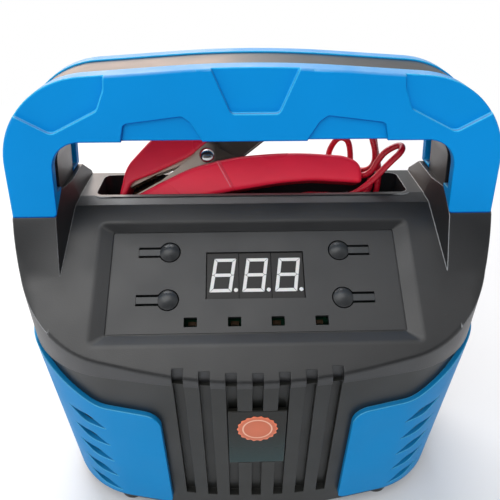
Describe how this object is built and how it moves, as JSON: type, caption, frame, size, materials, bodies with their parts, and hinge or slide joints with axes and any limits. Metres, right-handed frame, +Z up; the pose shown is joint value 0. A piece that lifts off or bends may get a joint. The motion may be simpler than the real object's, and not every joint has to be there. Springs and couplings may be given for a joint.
{
  "type": "car battery charger",
  "caption": "Portable car battery charger with a fixed carrying handle, a sloped control panel and a well that holds its clamps and leads.",
  "frame": {"origin": "on the surface it stands on, under the middle of the housing between its sides and between the front face and the mains gland", "axes": "+Z up, the control panel faces -Y and +X is to the right of someone who looks at the panel"},
  "size_m": [0.1878, 0.1127, 0.1888],
  "materials": {
    "housing_black": "fine grain, satin",
    "handle_black": "semi-gloss",
    "handle_blue": "satin",
    "guard_blue": "satin",
    "panel_black": "fine grain, satin",
    "pad_black": "gloss",
    "display_grey": "smooth",
    "segment_white": "smooth",
    "board_green": "solder mask",
    "part_black": "smooth",
    "lamp_tan": "clear lens",
    "plate_grey": "gloss",
    "can_aluminium": "sleeved can",
    "sink_aluminium": "extruded",
    "core_steel": "laminated",
    "coil_copper": "enamelled winding",
    "fuse_plastic": "clear",
    "screw_steel": "plated",
    "rubber_black": "matt",
    "lead_red": "gloss sheath",
    "lead_black": "gloss sheath",
    "clamp_red": "satin",
    "clamp_black": "satin",
    "jaw_steel": "plated",
    "contact_copper": "copper plated",
    "rivet_chrome": "polished",
    "spring_steel": "drawn wire"
  },
  "bodies": {
    "housing": {"board_screws": "screw_steel", "capacitors": "can_aluminium", "case_screws": "screw_steel", "clamp_black_fixed_contact": "contact_copper", "clamp_black_fixed_cover": "clamp_black", "clamp_black_fixed_jaw": "jaw_steel", "clamp_black_rivet": "rivet_chrome", "clamp_black_spring": "spring_steel", "clamp_red_fixed_contact": "contact_copper", "clamp_red_fixed_cover": "clamp_red", "clamp_red_fixed_jaw": "jaw_steel", "clamp_red_rivet": "rivet_chrome", "clamp_red_spring": "spring_steel", "control_board": "board_green", "control_panel": "panel_black", "display_module_1": "display_grey", "display_module_2": "display_grey", "display_module_3": "display_grey", "display_segments": "segment_white", "fan_frame": "part_black", "fan_screws": "screw_steel", "front_plate": "plate_grey", "fuse_holder": "fuse_plastic", "handle_core": "handle_black", "handle_cover_front": "handle_blue", "handle_cover_rear": "handle_blue", "handle_screws": "screw_steel", "heat_sink": "sink_aluminium", "lead_black": "lead_black", "lead_glands": "rubber_black", "lead_red": "lead_red", "lower_shell": "housing_black", "main_board": "board_green", "mains_gland": "rubber_black", "power_transistors": "part_black", "relay": "part_black", "rubber_feet": "rubber_black", "side_guard_left": "guard_blue", "side_guard_right": "guard_blue", "status_leds": "lamp_tan", "tact_switches": "part_black", "transformer_coil": "coil_copper", "transformer_core": "core_steel", "upper_shell": "housing_black"},
    "button_1": {"button_1": "pad_black"},
    "button_2": {"button_2": "pad_black"},
    "button_3": {"button_3": "pad_black"},
    "button_4": {"button_4": "pad_black"},
    "clamp_red_moving": {"clamp_red_moving_cover": "clamp_red", "clamp_red_moving_jaw": "jaw_steel", "clamp_red_moving_contact": "contact_copper"},
    "clamp_black_moving": {"clamp_black_moving_cover": "clamp_black", "clamp_black_moving_jaw": "jaw_steel", "clamp_black_moving_contact": "contact_copper"},
    "fan_rotor": {"fan_rotor": "part_black"}
  },
  "joints": [
    {"name": "button_1_press", "type": "hinge", "parent": "housing", "child": "button_1", "pos_m": [-0.046, -0.00062, 0.11716], "axis": [0, 0.832, 0.5548], "range_deg": [0, 3], "stiffness_Nm_per_rad": 0.3},
    {"name": "button_2_press", "type": "hinge", "parent": "housing", "child": "button_2", "pos_m": [-0.046, -0.01709, 0.10618], "axis": [0, 0.832, 0.5548], "range_deg": [0, 3], "stiffness_Nm_per_rad": 0.3},
    {"name": "button_3_press", "type": "hinge", "parent": "housing", "child": "button_3", "pos_m": [0.046, -0.00062, 0.11716], "axis": [0, -0.832, -0.5548], "range_deg": [0, 3], "stiffness_Nm_per_rad": 0.3},
    {"name": "button_4_press", "type": "hinge", "parent": "housing", "child": "button_4", "pos_m": [0.046, -0.01709, 0.10618], "axis": [0, -0.832, -0.5548], "range_deg": [0, 3], "stiffness_Nm_per_rad": 0.3},
    {"name": "clamp_red_squeeze", "type": "hinge", "parent": "housing", "child": "clamp_red_moving", "pos_m": [-0.0195, 0.0385, 0.1426], "axis": [0, 0.8387, -0.5446], "range_deg": [0, 25], "stiffness_Nm_per_rad": 1.5},
    {"name": "clamp_black_squeeze", "type": "hinge", "parent": "housing", "child": "clamp_black_moving", "pos_m": [-0.016, 0.02775, 0.0794], "axis": [0, 1, 0], "range_deg": [0, 25], "stiffness_Nm_per_rad": 1.5},
    {"name": "fan_spin", "type": "hinge", "parent": "housing", "child": "fan_rotor", "pos_m": [-0.034, 0.03, 0.034], "axis": [0, 1, 0], "continuous": true}
  ]
}
